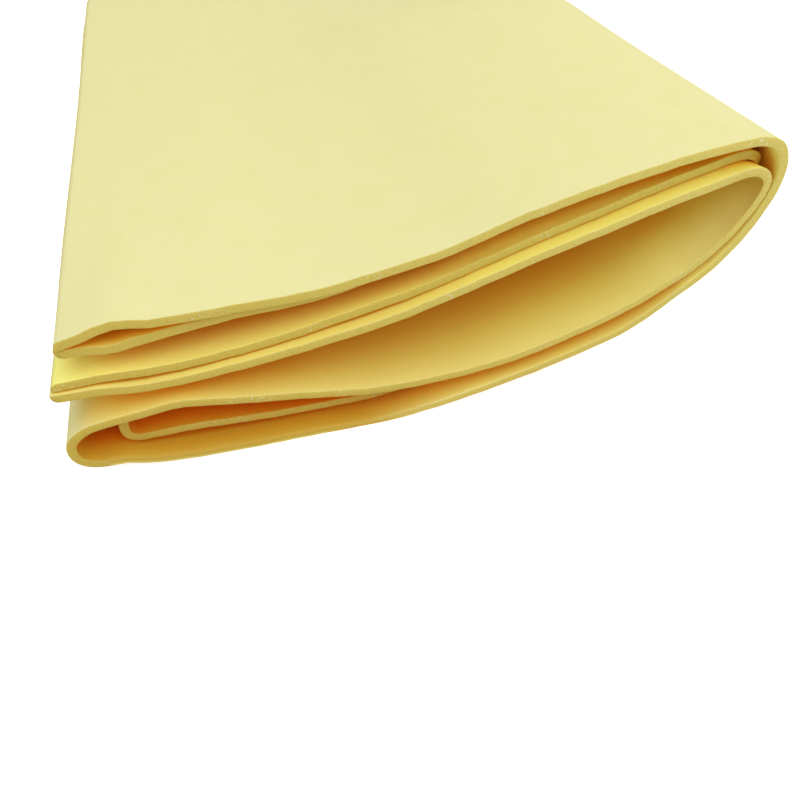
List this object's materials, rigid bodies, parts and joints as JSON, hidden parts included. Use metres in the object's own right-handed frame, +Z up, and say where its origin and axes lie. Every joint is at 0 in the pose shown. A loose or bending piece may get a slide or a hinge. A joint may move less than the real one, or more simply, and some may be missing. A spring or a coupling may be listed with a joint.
{
  "type": "pva chamois towel",
  "caption": "Soft absorbent foam sheet towel for wiping and drying, folded into a flat pack that springs open at its front edge.",
  "frame": {"origin": "middle of the folded pack's bounding box in X and Y, on the flat face that it rests on", "axes": "+Z up; +Y along the fold lines, from the open front edges to the closed back crease; +X across the pack, from the cut ends and the left fold to the wide fold on the right"},
  "size_m": [0.1622, 0.2154, 0.0609],
  "materials": {
    "foam": "matte, fine open-pored PVA foam with a suede-like face"
  },
  "bodies": {
    "root": {"chamois_sheet": "foam"}
  },
  "joints": []
}
